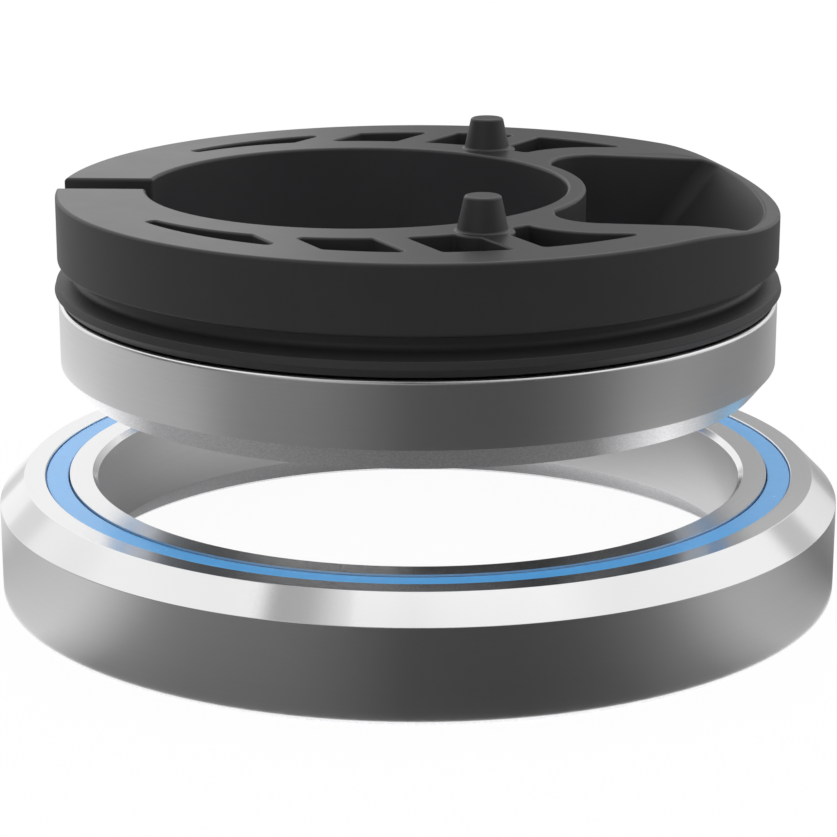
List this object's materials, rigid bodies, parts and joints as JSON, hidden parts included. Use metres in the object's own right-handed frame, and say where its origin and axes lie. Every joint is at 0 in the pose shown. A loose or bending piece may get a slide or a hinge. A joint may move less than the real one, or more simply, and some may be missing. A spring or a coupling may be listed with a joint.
{
  "type": "bicycle headset",
  "caption": "Bicycle headset set: a split plastic compression ring with a hose opening and rubber wiper, above two sealed angular contact bearings with chamfered seats.",
  "frame": {"origin": "on the bearings' common axis, on the plane that the lower bearing stands on", "axes": "+Z along the steering axis, up the steerer; +X forward, to the side of the hose opening"},
  "size_m": [0.058, 0.058, 0.0298],
  "materials": {
    "ring_plastic": "black moulded plastic with a fine satin grain",
    "wiper_rubber": "black moulded rubber",
    "race_steel": "fine turned and ground steel",
    "seal_rubber": "smooth blue rubber",
    "cage_plastic": "natural moulded plastic",
    "ball_steel": "polished hardened steel"
  },
  "bodies": {
    "head_tube_side": {"upper_outer_race": "race_steel", "upper_seat_seal": "seal_rubber", "upper_cone_seal": "seal_rubber", "lower_outer_race": "race_steel", "lower_seat_seal": "seal_rubber", "lower_cone_seal": "seal_rubber"},
    "steerer_side": {"compression_ring": "ring_plastic", "wiper_seal": "wiper_rubber", "upper_inner_race": "race_steel"},
    "upper_rollers": {"upper_ball_cage": "cage_plastic", "upper_ball_01": "ball_steel", "upper_ball_02": "ball_steel", "upper_ball_03": "ball_steel", "upper_ball_04": "ball_steel", "upper_ball_05": "ball_steel", "upper_ball_06": "ball_steel", "upper_ball_07": "ball_steel", "upper_ball_08": "ball_steel", "upper_ball_09": "ball_steel", "upper_ball_10": "ball_steel", "upper_ball_11": "ball_steel", "upper_ball_12": "ball_steel", "upper_ball_13": "ball_steel", "upper_ball_14": "ball_steel", "upper_ball_15": "ball_steel", "upper_ball_16": "ball_steel", "upper_ball_17": "ball_steel", "upper_ball_18": "ball_steel", "upper_ball_19": "ball_steel", "upper_ball_20": "ball_steel", "upper_ball_21": "ball_steel", "upper_ball_22": "ball_steel"},
    "crown_side": {"lower_inner_race": "race_steel"},
    "lower_rollers": {"lower_ball_cage": "cage_plastic", "lower_ball_01": "ball_steel", "lower_ball_02": "ball_steel", "lower_ball_03": "ball_steel", "lower_ball_04": "ball_steel", "lower_ball_05": "ball_steel", "lower_ball_06": "ball_steel", "lower_ball_07": "ball_steel", "lower_ball_08": "ball_steel", "lower_ball_09": "ball_steel", "lower_ball_10": "ball_steel", "lower_ball_11": "ball_steel", "lower_ball_12": "ball_steel", "lower_ball_13": "ball_steel", "lower_ball_14": "ball_steel", "lower_ball_15": "ball_steel", "lower_ball_16": "ball_steel", "lower_ball_17": "ball_steel", "lower_ball_18": "ball_steel", "lower_ball_19": "ball_steel", "lower_ball_20": "ball_steel", "lower_ball_21": "ball_steel", "lower_ball_22": "ball_steel", "lower_ball_23": "ball_steel", "lower_ball_24": "ball_steel"}
  },
  "joints": [
    {"name": "steerer_turn", "type": "hinge", "parent": "head_tube_side", "child": "steerer_side", "pos_m": [0, 0, 0.01745], "axis": [0, 0, 1], "continuous": true},
    {"name": "upper_cage_turn", "type": "hinge", "parent": "head_tube_side", "child": "upper_rollers", "pos_m": [0, 0, 0.01745], "axis": [0, 0, 1], "continuous": true},
    {"name": "crown_turn", "type": "hinge", "parent": "head_tube_side", "child": "crown_side", "pos_m": [0, 0, 0.004], "axis": [0, 0, 1], "continuous": true},
    {"name": "lower_cage_turn", "type": "hinge", "parent": "head_tube_side", "child": "lower_rollers", "pos_m": [0, 0, 0.004], "axis": [0, 0, 1], "continuous": true}
  ],
  "couplings": [
    {"joint": "upper_cage_turn", "follows": "steerer_turn", "ratio": 0.4714},
    {"joint": "lower_cage_turn", "follows": "crown_turn", "ratio": 0.4722}
  ]
}
